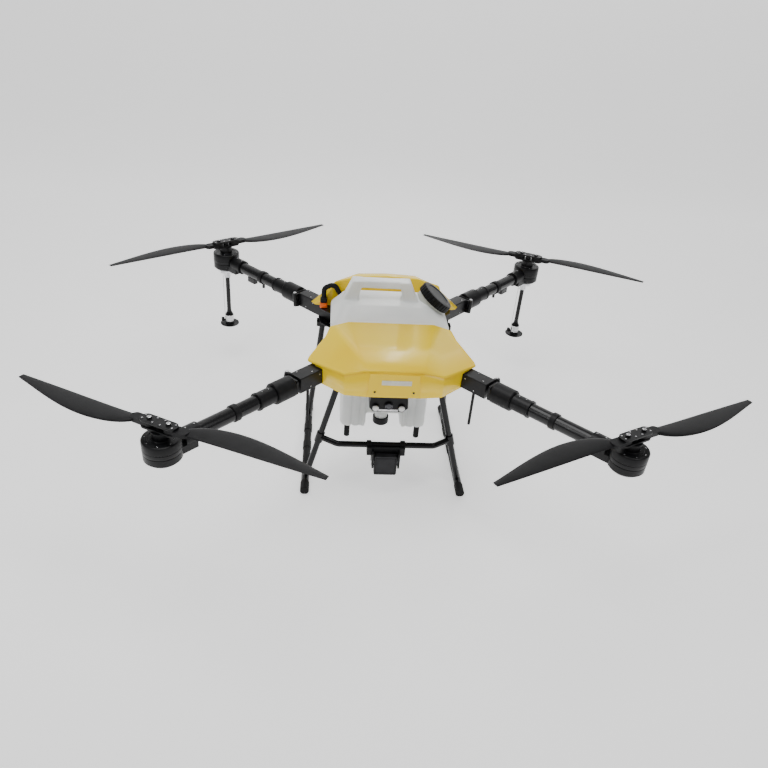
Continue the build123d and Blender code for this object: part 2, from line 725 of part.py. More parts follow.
with BuildPart() as crossbar:
    with BuildLine() as bar_path:
        FilletPolyline((-leg_at_bar.X, leg_at_bar.Y, BAR_Z), (-BAR_BEND[0], BAR_BEND[1], BAR_Z),
                       (BAR_BEND[0], BAR_BEND[1], BAR_Z), (leg_at_bar.X, leg_at_bar.Y, BAR_Z), radius=30)
    with BuildSketch(Plane(origin=bar_path.line @ 0, z_dir=bar_path.line % 0)):
        Circle(BAR_R)
    sweep()
    for s in (-1, 1):
        start = mirror_x(FRONT_FOOT, s)
        end = mirror_x(FRONT_TOP, s)
        run = (end - start).normalized()
        middle = mirror_x(leg_at_bar, s)
        with BuildSketch(Plane(origin=middle - run * 17, z_dir=run)):
            Circle(13)
        extrude(amount=34)
        with BuildSketch(Plane(origin=start, z_dir=run)):
            Circle(LEG_R)
        extrude(amount=(end - start).length, mode=Mode.SUBTRACT)
save(crossbar, "crossbar")


with BuildPart() as radar_bracket:
    for x in (-52, 52):
        with BuildSketch(Plane.YZ.offset(x - 7)):
            with Locations((BAR_BEND[1], BAR_Z)):
                Circle(14)
            with Locations((BAR_BEND[1] - 8, BAR_Z - 14)):
                Rectangle(28, 22)
        extrude(amount=14)
    with BuildSketch(Plane.XZ.offset(-BAR_BEND[1] + 16)):
        with Locations((0, BAR_Z - 4)):
            Rectangle(118, 16)
    extrude(amount=6)
    for x in (-RADAR_W / 2 - 8, RADAR_W / 2 + 2):
        with BuildSketch(Plane.YZ.offset(x)):
            with Locations((BAR_BEND[1] - 30, BAR_Z - 31)):
                Rectangle(28, 54)
        extrude(amount=6)
    with BuildSketch(Plane.YZ.offset(-80)):
        with Locations((BAR_BEND[1], BAR_Z)):
            Circle(BAR_R)
        with Locations((BAR_BEND[1] - 34, RADAR_Z)):
            Circle(3.05)
    extrude(amount=160, mode=Mode.SUBTRACT)
save(radar_bracket, "radar_bracket")

with BuildPart() as radar:
    with BuildSketch(Plane.XZ.offset(-RADAR_FACE_Y - RADAR_T)):
        with Locations((0, RADAR_Z)):
            RectangleRounded(RADAR_W, RADAR_W, 5)
    extrude(amount=RADAR_T)
    with BuildSketch(Plane.YZ.offset(-RADAR_W / 2 - 9)):
        with Locations((BAR_BEND[1] - 34, RADAR_Z)):
            Circle(3)
    extrude(amount=RADAR_W + 18)
save(radar, "radar")

# ---------------------------------------------------------------- spray nozzles under the rear motors

for side_name, s in (("left", -1), ("right", 1)):
    spot = (s * MOTOR_XY, MOTOR_XY)
    with BuildPart() as nozzle_hanger:
        with BuildSketch(Plane.XY.offset(POLE_TOP)):
            with Locations(spot):
                RectangleRounded(46, 34, 6)
        extrude(amount=PAN_BOTTOM - POLE_TOP)
        with BuildSketch(Plane.XY.offset(CAN_TOP + 14)):
            with Locations(spot):
                Circle(POLE_R)
        extrude(amount=POLE_TOP - CAN_TOP - 14)
        with BuildSketch(Plane.XY.offset(CAN_TOP)):
            with Locations(spot):
                Circle(16.5)
        extrude(amount=14, taper=28)
        with BuildSketch(Plane.XY.offset(CAN_LOW)):
            with Locations(spot):
                Circle(16.5)
        extrude(amount=CAN_TOP - CAN_LOW)
        with BuildSketch(Plane.XY.offset(CAN_LOW)):
            with Locations((spot[0] - 26, spot[1])):
                Circle(6)
        extrude(amount=14)
        with BuildSketch(Plane.XY.offset(CAN_LOW)):
            with Locations((spot[0] - 18, spot[1])):
                Rectangle(16, 6)
        extrude(amount=6)
        with BuildSketch(Plane.XY.offset(CAN_LOW - 10)):
            with Locations(spot):
                Circle(3)
        extrude(amount=10)
    save(nozzle_hanger, f"{side_name}_nozzle_hanger")

    with BuildPart() as nozzle_disc:
        with BuildSketch(Plane.XY.offset(DISC_LOW)):
            with Locations(spot):
                Circle(DISC_R)
        extrude(amount=CAN_LOW - 1 - DISC_LOW)
        chamfer(nozzle_disc.edges().group_by(Axis.Z)[-1], 4)
        chamfer(nozzle_disc.edges().group_by(Axis.Z)[0], 5)
        with BuildSketch(Plane.XY.offset(CAN_LOW - 11)):
            with Locations(spot):
                Circle(3.05)
        extrude(amount=12, mode=Mode.SUBTRACT)
    save(nozzle_disc, f"{side_name}_nozzle_disc")
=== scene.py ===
import json
import math

import bmesh
import bpy
from mathutils import Matrix, Vector


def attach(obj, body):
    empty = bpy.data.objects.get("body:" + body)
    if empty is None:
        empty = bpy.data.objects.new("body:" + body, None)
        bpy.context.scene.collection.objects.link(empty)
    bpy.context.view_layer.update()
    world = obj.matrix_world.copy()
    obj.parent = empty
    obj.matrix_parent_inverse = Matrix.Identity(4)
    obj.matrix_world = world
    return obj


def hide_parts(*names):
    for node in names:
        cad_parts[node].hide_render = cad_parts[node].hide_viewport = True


# Agricultural spray drone. Lengths are in metres, in the row frame: +Z up, nose towards -Y.
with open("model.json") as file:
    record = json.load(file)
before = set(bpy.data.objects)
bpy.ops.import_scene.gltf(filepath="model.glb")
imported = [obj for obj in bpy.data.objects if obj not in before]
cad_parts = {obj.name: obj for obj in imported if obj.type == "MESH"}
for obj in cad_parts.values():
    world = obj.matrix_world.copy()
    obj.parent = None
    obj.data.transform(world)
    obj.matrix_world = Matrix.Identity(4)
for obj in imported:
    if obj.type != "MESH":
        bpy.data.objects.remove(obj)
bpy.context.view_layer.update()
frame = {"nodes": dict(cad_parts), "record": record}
NODES = frame["nodes"]

AXIS_Z = 0.426
MOTOR = 0.576
ARMS = {"front_left": 225, "front_right": 315, "rear_left": 135, "rear_right": 45}


# ---------------------------------------------------------------- materials
def new_material(name):
    mat = bpy.data.materials.new(name)
    mat.use_nodes = True
    tree = mat.node_tree
    shader = next(n for n in tree.nodes if n.type == "BSDF_PRINCIPLED")
    return mat, tree, shader


def surface(name, dark, light, rough, metallic=0.0, scale=40.0, bump=0.0, bump_scale=900.0, **sockets):
    """A shader whose colour and roughness drift between two values with a soft noise, with a fine grain."""
    mat, tree, shader = new_material(name)
    links = tree.links
    place = tree.nodes.new("ShaderNodeTexCoord")
    noise = tree.nodes.new("ShaderNodeTexNoise")
    noise.inputs["Scale"].default_value = scale
    noise.inputs["Detail"].default_value = 4
    links.new(place.outputs["Object"], noise.inputs["Vector"])
    ramp = tree.nodes.new("ShaderNodeValToRGB")
    ramp.color_ramp.elements[0].position = 0.3
    ramp.color_ramp.elements[1].position = 0.7
    ramp.color_ramp.elements[0].color = (*dark, 1)
    ramp.color_ramp.elements[1].color = (*light, 1)
    links.new(noise.outputs["Fac"], ramp.inputs["Fac"])
    links.new(ramp.outputs["Color"], shader.inputs["Base Color"])
    spread = tree.nodes.new("ShaderNodeMapRange")
    spread.inputs["To Min"].default_value = rough * 0.85
    spread.inputs["To Max"].default_value = rough * 1.2
    links.new(noise.outputs["Fac"], spread.inputs["Value"])
    links.new(spread.outputs["Result"], shader.inputs["Roughness"])
    shader.inputs["Metallic"].default_value = metallic
    for socket, value in sockets.items():
        shader.inputs[socket.replace("_", " ")].default_value = value
    if bump:
        grain = tree.nodes.new("ShaderNodeTexNoise")
        grain.inputs["Scale"].default_value = bump_scale
        grain.inputs["Detail"].default_value = 3
        links.new(place.outputs["Object"], grain.inputs["Vector"])
        lift = tree.nodes.new("ShaderNodeBump")
        lift.inputs["Strength"].default_value = bump
        lift.inputs["Distance"].default_value = 0.0004
        links.new(grain.outputs["Fac"], lift.inputs["Height"])
        links.new(lift.outputs["Normal"], shader.inputs["Normal"])
    return mat


def carbon_surface(name):
    """Clear-coated woven carbon: two crossed sets of bands under a smooth coat."""
    mat = surface(name, (0.003, 0.003, 0.004), (0.006, 0.006, 0.007), 0.22, Specular_IOR_Level=0.4)
    tree = mat.node_tree
    shader = next(n for n in tree.nodes if n.type == "BSDF_PRINCIPLED")
    place = next(n for n in tree.nodes if n.type == "TEX_COORD")
    weave = tree.nodes.new("ShaderNodeTexChecker")
    weave.inputs["Scale"].default_value = 500
    weave.inputs["Color1"].default_value = (0.002, 0.002, 0.0025, 1)
    weave.inputs["Color2"].default_value = (0.008, 0.008, 0.009, 1)
    tree.links.new(place.outputs["Object"], weave.inputs["Vector"])
    tree.links.new(weave.outputs["Color"], shader.inputs["Base Color"])
    return mat


YELLOW = surface("yellow_gloss", (1.0, 0.66, 0.0), (1.0, 0.72, 0.0), 0.22, scale=6, bump=0.02, bump_scale=500,
                 Specular_IOR_Level=0.35, Coat_Weight=0.12, Coat_Roughness=0.02)
WHITE = surface("tank_white", (0.80, 0.82, 0.80), (0.90, 0.91, 0.89), 0.36, scale=14, bump=0.12,
                bump_scale=500,
                Subsurface_Weight=0.2, Subsurface_Radius=(0.02, 0.02, 0.018), Subsurface_Scale=0.5)
# Painted shade: the filler neck is the tank's white plastic, coloured a darker grey-olive to stand in for the
# shade on it.
NECK_WHITE_PAINTED_SHADE = surface("neck_white_painted_shade", (0.42, 0.43, 0.38), (0.56, 0.57, 0.51), 0.4, scale=20, bump=0.1)
ANODISED = surface("black_anodised", (0.003, 0.003, 0.0035), (0.006, 0.006, 0.007), 0.34, metallic=0.0,
                   scale=60,
                   bump=0.05, bump_scale=1400, Specular_IOR_Level=0.25)
GLOSS_BLACK = surface("black_gloss", (0.002, 0.002, 0.0025), (0.005, 0.005, 0.006), 0.2, scale=30,
                      Specular_IOR_Level=0.3)
BLACK = surface("black_plastic", (0.003, 0.003, 0.0035), (0.007, 0.007, 0.008), 0.4, scale=50, bump=0.12,
                Specular_IOR_Level=0.22)
BLADE = surface("blade_black", (0.003, 0.003, 0.0035), (0.008, 0.008, 0.009), 0.42, scale=25, bump=0.2,
                bump_scale=1600, Specular_IOR_Level=0.2)
GREY = surface("radar_grey", (0.018, 0.018, 0.020), (0.03, 0.03, 0.033), 0.5, scale=40, bump=0.1,
               Specular_IOR_Level=0.2)
RUBBER = surface("rubber", (0.003, 0.003, 0.003), (0.009, 0.009, 0.009), 0.6, scale=80, bump=0.3,
                 Specular_IOR_Level=0.2)
STEEL = surface("steel", (0.50, 0.50, 0.51), (0.72, 0.72, 0.73), 0.25, metallic=1.0, scale=90, bump=0.04)
ORANGE = surface("orange", (0.85, 0.10, 0.0), (0.98, 0.16, 0.0), 0.35, scale=60, bump=0.06,
                 Specular_IOR_Level=0.3)
LAMP = surface("lamp_white", (0.75, 0.76, 0.76), (0.92, 0.93, 0.93), 0.15, scale=200, Coat_Weight=0.6)
LENS = surface("lens", (0.004, 0.004, 0.010), (0.01, 0.01, 0.025), 0.05, scale=80, Coat_Weight=0.6)
BADGE = surface("badge", (0.62, 0.60, 0.50), (0.75, 0.73, 0.62), 0.3, scale=120)
TUBE = surface("clear_tube", (0.6, 0.62, 0.6), (0.8, 0.82, 0.8), 0.2, scale=60, Alpha=0.35)
CARBON = carbon_surface("carbon")

LOOKS = {
    "bottom_plate": CARBON, "top_plate": CARBON, "arm_roots": ANODISED, "hinge_pins": STEEL,
    "front_cover": YELLOW, "front_skirt": YELLOW, "rear_cover": YELLOW, "battery": BLACK,
    "flight_controller": BLACK, "pump": BLACK, "camera": BLACK, "antennas": BLACK, "battery_lead": RUBBER,
    "power_connector": ORANGE, "landing_legs": GLOSS_BLACK, "skids": GLOSS_BLACK, "skid_rubbers": RUBBER,
    "crossbar": GLOSS_BLACK, "radar_bracket": BLACK, "radar": GREY, "tank": WHITE, "tank_feet": RUBBER,
    "tank_cap": BLACK, "outlet_cap": BLACK,
}
for arm in ARMS:
    LOOKS.update({f"{arm}_arm_socket": ANODISED, f"{arm}_arm_tube": CARBON, f"{arm}_lock_nut": BLACK,
                  f"{arm}_motor_mount": ANODISED, f"{arm}_motor_bell": ANODISED, f"{arm}_prop_hub": ANODISED,
                  f"{arm}_blade_a": BLADE, f"{arm}_blade_b": BLADE})
for side in ("left", "right"):
    LOOKS.update({f"{side}_nozzle_hanger": BLACK, f"{side}_nozzle_disc": BLACK})
BODY_OF = {node: body for body, nodes in frame["record"]["behaviour"]["bodies"].items() for node in nodes}


# ---------------------------------------------------------------- building helpers
def link(name, mesh, mat, body):
    obj = bpy.data.objects.new(name, mesh)
    bpy.context.scene.collection.objects.link(obj)
    mesh.materials.clear()
    mesh.materials.append(mat)
    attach(obj, body)
    return obj


def smooth(mesh, angle=35):
    for face in mesh.polygons:
        face.use_smooth = True
    bm = bmesh.new()
    bm.from_mesh(mesh)
    for edge in bm.edges:
        edge.smooth = not (len(edge.link_faces) != 2 or edge.calc_face_angle(0) > math.radians(angle))
    bm.to_mesh(mesh)
    bm.free()


def softened(node, width=0.0008, segments=2):
    """The CAD node's own shape with small rounded edges, so that they catch the light."""
    source = NODES[node]
    mesh = source.data.copy()
    bm = bmesh.new()
    bm.from_mesh(mesh)
    bmesh.ops.remove_doubles(bm, verts=bm.verts, dist=2e-6)
    bmesh.ops.dissolve_limit(bm, angle_limit=math.radians(0.4), verts=bm.verts, edges=bm.edges)
    bm.to_mesh(mesh)
    bm.free()
    obj = link(f"{node}_shape", mesh, LOOKS[node], BODY_OF[node])
    bevel = obj.modifiers.new("edges", "BEVEL")
    bevel.width = width
    bevel.segments = segments
    bevel.limit_method = "ANGLE"
    bevel.angle_limit = math.radians(32)
    bevel.use_clamp_overlap = True
    bevel.harden_normals = False
    smooth(mesh, 32)
    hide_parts(node)
    return obj


def frame_at(origin, along, x_dir=None):
    """A matrix with its origin at origin and local z along the given direction."""
    z = Vector(along).normalized()
    guess = Vector(x_dir) if x_dir else (Vector((1, 0, 0)) if abs(z.x) < 0.9 else Vector((0, 1, 0)))
    y = z.cross(guess).normalized()
    x = y.cross(z)
    return Matrix.Translation(Vector(origin)) @ Matrix((x, y, z)).transposed().to_4x4()


def turned(bm, profile, place, steps=48, flutes=0, depth=0.0, part=(0, 1)):
    """Adds a lathe shape closed at both ends. profile is (radius, height) pairs, and flutes cuts that many
    grooves where a ring of the profile lies within part, a share of the whole height."""
    rings = []
    low = min(h for _, h in profile)
    high = max(h for _, h in profile)
    for radius, height in profile:
        ring = []
        for k in range(steps):
            turn = 2 * math.pi * k / steps
            share = (height - low) / (high - low) if high > low else 0
            cut = depth if flutes and part[0] <= share <= part[1] and (k * flutes * 2 // steps) % 2 else 0.0
            r = max(radius - cut, 0.0)
            ring.append(bm.verts.new(place @ Vector((r * math.cos(turn), r * math.sin(turn), height))))
        rings.append(ring)
    for a, b in zip(rings, rings[1:]):
        for k in range(steps):
            m = (k + 1) % steps
            bm.faces.new((a[k], a[m], b[m], b[k]))
    bm.faces.new(list(reversed(rings[0])))
    bm.faces.new(rings[-1])


def block(bm, low, high, place=None):
    place = place or Matrix.Identity(4)
    corners = [place @ Vector((x, y, z)) for x in (low[0], high[0]) for y in (low[1], high[1])
               for z in (low[2], high[2])]
    v = [bm.verts.new(c) for c in corners]
    for face in ((0, 1, 3, 2), (4, 6, 7, 5), (0, 4, 5, 1), (2, 3, 7, 6), (0, 2, 6, 4), (1, 5, 7, 3)):
        bm.faces.new([v[k] for k in face])


def made(name, build, mat, body, bevel=0.0, angle=35):
    """Runs build(bm) and turns what it makes into one riding object."""
    bm = bmesh.new()
    build(bm)
    bmesh.ops.recalc_face_normals(bm, faces=bm.faces)
    mesh = bpy.data.meshes.new(name)
    bm.to_mesh(mesh)
    bm.free()
    obj = link(name, mesh, mat, body)
    smooth(mesh, angle)
    if bevel:
        mod = obj.modifiers.new("edges", "BEVEL")
        mod.width = bevel
        mod.segments = 2
        mod.limit_method = "ANGLE"
        mod.angle_limit = math.radians(angle)
    return obj


def polar(angle, r, z=AXIS_Z, side=0.0):
    """The point r along an arm, side to its left."""
    a = math.radians(angle)
    return Vector((r * math.cos(a) - side * math.sin(a), r * math.sin(a) + side * math.cos(a), z))


def arm_dir(angle):
    return Vector((math.cos(math.radians(angle)), math.sin(math.radians(angle)), 0))


def screw_heads(bm, spots, along, radius, height=0.0016):
    for spot in spots:
        place = frame_at(spot, along)
        turned(bm, [(radius, 0), (radius, height * 0.7), (radius * 0.8, height), (radius * 0.45, height),
                    (radius * 0.4, height * 0.4)], place, 16)


# ---------------------------------------------------------------- CAD nodes: looks and soft edges
for node, obj in NODES.items():
    obj.data.materials.clear()
    obj.data.materials.append(LOOKS[node])

PLAIN = {"battery_lead"}
REPLACED = {"power_connector", "front_cover", "front_skirt", "rear_cover", "tank", "tank_cap", "skids",
            "left_nozzle_hanger",
            "right_nozzle_hanger", "left_nozzle_disc", "right_nozzle_disc"}
for arm in ARMS:
    REPLACED |= {f"{arm}_lock_nut", f"{arm}_motor_bell"}
for node in NODES:
    if node not in PLAIN and node not in REPLACED:
        softened(node)


# ---------------------------------------------------------------- covers
def sheet_of(name, faces, mat, node, thickness, bevel, segments=3):
    """A thin moulded shell from flat facets; points met by several facets are shared."""
    bm = bmesh.new()
    for face in faces:
        bm.faces.new([bm.verts.new(p) for p in face])
    bmesh.ops.remove_doubles(bm, verts=bm.verts, dist=1e-5)
    bmesh.ops.recalc_face_normals(bm, faces=bm.faces)
    mesh = bpy.data.meshes.new(name)
    bm.to_mesh(mesh)
    bm.free()
    obj = link(name, mesh, mat, BODY_OF[node])
    rounding = obj.modifiers.new("edges", "BEVEL")
    rounding.width = bevel
    rounding.segments = segments
    rounding.limit_method = "ANGLE"
    rounding.angle_limit = math.radians(4)
    wall = obj.modifiers.new("wall", "SOLIDIFY")
    wall.thickness = thickness
    wall.offset = -1
    smooth(mesh, 60)
    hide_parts(node)
    return obj


def both_sides(faces):
    return faces + [[(-x, y, z) for x, y, z in reversed(face)] for face in faces]


def slope(x, y, drop=0.0):
    """A point on the front cover's right-hand facet."""
    return (x, y, 0.469 - (7.659 * (x - 0.142) - 5.542 * (y + 0.287)) / 23.982 - drop)


BASE = 0.4535
CREASE = (0.0806, -0.294, 0.487)
CREST = (0.128, -0.077, 0.522)
TIP_FRONT = slope(0.237, -0.2052)
TIP_SIDE = slope(0.2424, -0.1825)
TIP = slope(0.2455, -0.1955)
WAIST = slope(0.196, -0.112)
HEEL = slope(0.184, -0.077)
CORNER = slope(0.142, -0.287)


def wall_below(points, base):
    return [[a, b, (b[0], b[1], base), (a[0], a[1], base)] for a, b in zip(points, points[1:])]


top = [[(-CREASE[0], CREASE[1], CREASE[2]), CREASE, CREST, (-CREST[0], CREST[1], CREST[2])]]
shoulder = [[CREASE, CORNER, TIP_FRONT, TIP, TIP_SIDE, WAIST, HEEL, CREST]]
sides = wall_below([TIP_FRONT, TIP, TIP_SIDE, WAIST, HEEL], BASE)
rim = [[a, b, (b[0], b[1], b[2] - 0.004), (a[0], a[1], a[2] - 0.004)]
       for a, b in ((CREASE, CORNER), (CORNER, TIP_FRONT))]
front_rim = [[(-CREASE[0], CREASE[1], CREASE[2]), CREASE, (CREASE[0], CREASE[1], CREASE[2] - 0.004),
              (-CREASE[0], CREASE[1], CREASE[2] - 0.004)]]
sheet_of("front_cover_shell", top + front_rim + both_sides(shoulder + sides + rim), YELLOW, "front_cover",
         0.003, 0.0035)

SKIRT_LOW = 0.399
inner = [(0.0800, -0.2925), (0.1405, -0.2855), (0.222, -0.2160)]


def skirt_top(x, y):
    return 0.4825 if x <= 0.0801 else slope(x, y, 0.0045)[2]


skirt_faces = []
for (xa, ya), (xb, yb) in zip(inner, inner[1:]):
    skirt_faces.append([(xa, ya, skirt_top(xa, ya)), (xb, yb, skirt_top(xb, yb)), (xb * 0.985, yb, SKIRT_LOW),
                        (xa * 0.985, ya, SKIRT_LOW)])
x0, y0 = inner[0]
centre_face = [[(-x0, y0, 0.4825), (x0, y0, 0.4825), (x0 * 0.985, y0, SKIRT_LOW), (-x0 * 0.985, y0,
                                                                                   SKIRT_LOW)]]
sheet_of("front_skirt_shell", centre_face + both_sides(skirt_faces), YELLOW, "front_skirt", 0.003, 0.003)


def nose_panel(bm):
    back = [(-0.070, 0.477), (0.070, 0.477), (0.0755, 0.4015), (-0.0755, 0.4015)]
    rows = [[bm.verts.new((x * scale, y, 0.439 + (z - 0.439) * scale)) for x, z in back]
            for y, scale in ((-0.2920, 1.0), (-0.2948, 1.0), (-0.2960, 0.975))]
    for a, b in zip(rows, rows[1:]):
        for k in range(4):
            m = (k + 1) % 4
            bm.faces.new((a[k], a[m], b[m], b[k]))
    bm.faces.new(rows[-1])
    bm.faces.new(list(reversed(rows[0])))


made("nose_panel", nose_panel, YELLOW, "frame", 0.001)
made("nose_badge", lambda bm: block(bm, (-0.036, -0.2970, 0.4425), (0.048, -0.2958, 0.4575)), BADGE, "frame",
     0.0004)
made("nose_screws", lambda bm: screw_heads(bm, [(-0.054, -0.2958, 0.419), (0.056, -0.2958, 0.419)], (0, -1,
                                                                                                     0),
                                           0.0032), BLACK, "frame")

tail = [
    [(0, 0.168, 0.566), (0.10, 0.168, 0.560), (0.095, 0.225, 0.548), (0, 0.225, 0.552)],
    [(0.10, 0.168, 0.560), (0.172, 0.168, 0.540), (0.160, 0.222, 0.520), (0.095, 0.225, 0.548)],
    [(0.172, 0.168, 0.540), (0.190, 0.168, 0.505), (0.233, 0.168, BASE), (0.248, 0.194, BASE),
     (0.160, 0.222, 0.520)],
    [(0, 0.225, 0.552), (0.095, 0.225, 0.548), (0.100, 0.284, 0.475), (0, 0.284, 0.477)],
    [(0.095, 0.225, 0.548), (0.160, 0.222, 0.520), (0.142, 0.286, BASE), (0.100, 0.284, 0.475)],
    [(0.160, 0.222, 0.520), (0.248, 0.194, BASE), (0.142, 0.286, BASE)],
    [(0, 0.284, 0.477), (0.100, 0.284, 0.475), (0.142, 0.286, BASE), (0, 0.286, BASE)],
    [(0, 0.168, 0.566), (0.10, 0.168, 0.560), (0.172, 0.168, 0.540), (0.190, 0.168, 0.505), (0.233, 0.168,
                                                                                             BASE),
     (0, 0.168, BASE)],
]
sheet_of("rear_cover_shell", both_sides(tail), YELLOW, "rear_cover", 0.003, 0.006)


# ---------------------------------------------------------------- tank
def prism(bm, outline, low, high, top_outline=None):
    a = [bm.verts.new((x, y, low)) for x, y in outline]
    b = [bm.verts.new((x, y, high)) for x, y in (top_outline or outline)]
    for k in range(len(a)):
        m = (k + 1) % len(a)
        bm.faces.new((a[k], a[m], b[m], b[k]))
    bm.faces.new(list(reversed(a)))
    bm.faces.new(b)


def rounded(cx, cy, half_x, half_y, radius, steps=6):
    out = []
    for sx, sy, start in ((1, 1, 0), (-1, 1, 90), (-1, -1, 180), (1, -1, 270)):
        for k in range(steps + 1):
            t = math.radians(start + 90 * k / steps)
            out.append((cx + sx * (half_x - radius) + radius * math.cos(t),
                        cy + sy * (half_y - radius) + radius * math.sin(t)))
    return out


def tank_blob(bm):
    """The blow-moulded outside: overlapping blocks that a remesh melts into one soft skin."""
    side = [(-0.1405, 0.112), (-0.1405, -0.046), (-0.134, -0.064), (-0.118, -0.0715), (-0.108, -0.0715),
            (-0.102, -0.064), (-0.096, -0.0715), (-0.082, -0.0715), (-0.076, -0.064), (-0.070, -0.0715),
            (-0.062, -0.0715), (-0.056, -0.052)]
    front = side + [(-x, y) for x, y in reversed(side)]
    prism(bm, front + [(0.112, 0.1395), (-0.112, 0.1395)], 0.176, 0.470)
    for sx in (-1, 1):
        low = [(x, y) for x, y in side] + [(-0.060, 0.1395), (-0.112, 0.1395)]
        prism(bm, [(sx * x, y) for x, y in low], 0.1355, 0.190)
    block(bm, (-0.08, 0.006, 0.1355), (0.08, 0.1395, 0.19))
    waist = rounded(0, 0.034, 0.1815, 0.1055, 0.034)
    prism(bm, waist, 0.4545, 0.497)
    prism(bm, waist, 0.496, 0.545, rounded(-0.016, 0.046, 0.130, 0.055, 0.028))
    post = 0.030
    for low_x, high_x, sx in ((-0.153, -0.118, 1), (0.093, 0.060, -1)):
        a = [(low_x, 0.020), (low_x + sx * (post + 0.022), 0.020), (low_x + sx * (post + 0.022), 0.065),
             (low_x, 0.065)]
        b = [(high_x, 0.022), (high_x + sx * post, 0.022), (high_x + sx * post, 0.063), (high_x, 0.063)]
        prism(bm, a, 0.530, 0.608, b)
    prism(bm, [(-0.121, 0.021), (0.063, 0.021), (0.063, 0.064), (-0.121, 0.064)], 0.588, 0.609,
          [(-0.116, 0.026), (0.058, 0.026), (0.058, 0.060), (-0.116, 0.060)])
    turned(bm, [(0.0497, -0.045), (0.0497, 0.022)], NECK_FRAME, 64)


NECK_TILT = math.radians(38)
NECK_FRAME = frame_at((0.116, 0.056, 0.513), (math.sin(NECK_TILT), 0, math.cos(NECK_TILT)), (0, 1, 0))
tank = made("tank_skin", tank_blob, WHITE, "tank")
melt = tank.modifiers.new("melt", "REMESH")
melt.mode = "VOXEL"
melt.voxel_size = 0.0028
melt.use_smooth_shade = True
relax = tank.modifiers.new("relax", "SMOOTH")
relax.factor = 0.5
relax.iterations = 7
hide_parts("tank")


def ring_tube(bm, place, outer, inside, low, high, steps=64):
    """A closed tube wall."""
    rows = []
    for radius, height in ((outer, low), (outer, high), (inside, high), (inside, low)):
        rows.append([bm.verts.new(place @ Vector((radius * math.cos(2 * math.pi * k / steps),
                                                  radius * math.sin(2 * math.pi * k / steps), height)))
                     for k in range(steps)])
    for a, b in zip(rows, rows[1:] + rows[:1]):
        for k in range(steps):
            m = (k + 1) % steps
            bm.faces.new((a[k], a[m], b[m], b[k]))


# The filler neck uses the darker grey-olive white, which is painted shade.
made("filler_neck", lambda bm: ring_tube(bm, NECK_FRAME, 0.0498, 0.0465, 0.015, 0.056), NECK_WHITE_PAINTED_SHADE, "tank",
     0.0008)
made("outlet_neck", lambda bm: ring_tube(bm, Matrix.Translation((-0.005, -0.030, 0)), 0.021, 0.017, 0.1335,
                                         0.182),
     WHITE, "tank", 0.0008)

cap = made("cap_shape", lambda bm: turned(bm, [(0.0505, 0.0340), (0.0560, 0.0345), (0.0568, 0.0360),
                                               (0.0568, 0.0560),
                                               (0.0545, 0.0595), (0.0500, 0.0604), (0.0420, 0.0604),
                                               (0.0400, 0.0585), (0.0120, 0.0580), (0.0, 0.0580)],
                                         NECK_FRAME, 180, 30, 0.0026, (0.04, 0.85)), BLACK, "filler_cap",
           angle=24)
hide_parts("tank_cap")

# ---------------------------------------------------------------- arms and motors
for arm, angle in ARMS.items():
    rear = arm.startswith("rear")
    along = frame_at(polar(angle, 0), arm_dir(angle), (0, 0, 1))
    nut = made(f"{arm}_nut_shape", lambda bm: turned(bm, [(0.0250, 0.4062), (0.0290, 0.4062), (0.0310,
                                                                                               0.4090),
                                                          (0.0310, 0.4690), (0.0285, 0.4718), (0.0250,
                                                                                               0.4718)],
                                                     along, 144), BLACK,
               f"{arm}_nut", angle=24)
    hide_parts(f"{arm}_lock_nut")
    hub = Matrix.Translation((MOTOR * (1 if "right" in arm else -1), MOTOR * (1 if rear else -1), 0))
    bell = made(f"{arm}_bell_shape", lambda bm: turned(
        bm, [(0.0436, 0.4221), (0.0472, 0.4221), (0.0475, 0.4230), (0.0475, 0.4330), (0.0466, 0.4338),
             (0.0475, 0.4346),
             (0.0475, 0.4535), (0.0462, 0.4562), (0.0436, 0.4578), (0.0330, 0.4580), (0.0315, 0.4562),
             (0.0235, 0.4562), (0.0220, 0.4580), (0.0220, 0.4790), (0.0, 0.4790)], hub, 96), ANODISED,
        f"{arm}_rotor", angle=30)
    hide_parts(f"{arm}_motor_bell")
    top_screws = [hub @ Vector((0.0385 * math.cos(math.radians(45 * k)),
                                0.0385 * math.sin(math.radians(45 * k)),
                                0.4577)) for k in range(8)]
    made(f"{arm}_bell_screws", lambda bm: screw_heads(bm, top_screws, (0, 0, 1), 0.0015, 0.0007), STEEL,
         f"{arm}_rotor")
    spots = [polar(angle, r, AXIS_Z + 0.0238, side) for r, side in ((0.338, 0.013), (0.372, -0.013))]
    made(f"{arm}_block_screws", lambda bm: screw_heads(bm, spots, (0, 0, 1), 0.0022), STEEL, "frame")
    for side in (-1, 1):
        flank = [polar(angle, r, AXIS_Z + z, side * 0.0229) for r, z in ((0.318, 0.012), (0.352, -0.013))]
        outward = polar(angle, 0, 0, side)
        made(f"{arm}_flank_screws_{side}", lambda bm: screw_heads(bm, flank, outward, 0.0019), STEEL, "frame")
    sleeve = [polar(angle, r, AXIS_Z + 0.0238) for r in (0.486, 0.508)]
    made(f"{arm}_sleeve_screws", lambda bm: screw_heads(bm, sleeve, (0, 0, 1), 0.0018), STEEL, f"{arm}_arm")
    made(f"{arm}_band_ring", lambda bm: ring_tube(bm, along, 0.0236, 0.0200, 0.5930, 0.6090), BLACK,
         f"{arm}_arm",
         0.0006)
    clamp = [polar(angle, r, AXIS_Z + 0.0252) for r in (0.722, 0.748)]
    made(f"{arm}_clamp_screws", lambda bm: screw_heads(bm, clamp, (0, 0, 1), 0.0022), STEEL, f"{arm}_arm")

